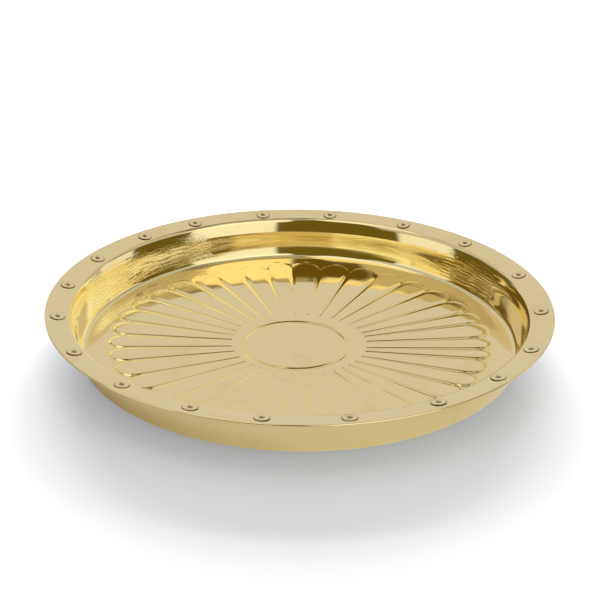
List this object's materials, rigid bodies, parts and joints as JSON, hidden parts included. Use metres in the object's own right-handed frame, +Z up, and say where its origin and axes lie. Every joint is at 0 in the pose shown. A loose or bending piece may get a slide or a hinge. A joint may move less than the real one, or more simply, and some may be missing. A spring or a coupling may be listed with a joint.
{
  "type": "thali plate",
  "caption": "Round brass thali with a petal-pressed floor, a leaning wall and a broad rim set with pitted studs, for serving a meal.",
  "frame": {"origin": "centre of the plate on the plane that it rests on", "axes": "+Z up, -Y towards the front of the plate, +X to its right"},
  "size_m": [0.3, 0.3, 0.0301],
  "materials": {
    "dish_brass": "polished",
    "stud_brass": "polished"
  },
  "bodies": {
    "root": {"dish": "dish_brass", "rim_stud_01": "stud_brass", "rim_stud_02": "stud_brass", "rim_stud_03": "stud_brass", "rim_stud_04": "stud_brass", "rim_stud_05": "stud_brass", "rim_stud_06": "stud_brass", "rim_stud_07": "stud_brass", "rim_stud_08": "stud_brass", "rim_stud_09": "stud_brass", "rim_stud_10": "stud_brass", "rim_stud_11": "stud_brass", "rim_stud_12": "stud_brass", "rim_stud_13": "stud_brass", "rim_stud_14": "stud_brass", "rim_stud_15": "stud_brass", "rim_stud_16": "stud_brass", "rim_stud_17": "stud_brass", "rim_stud_18": "stud_brass", "rim_stud_19": "stud_brass"}
  },
  "joints": []
}
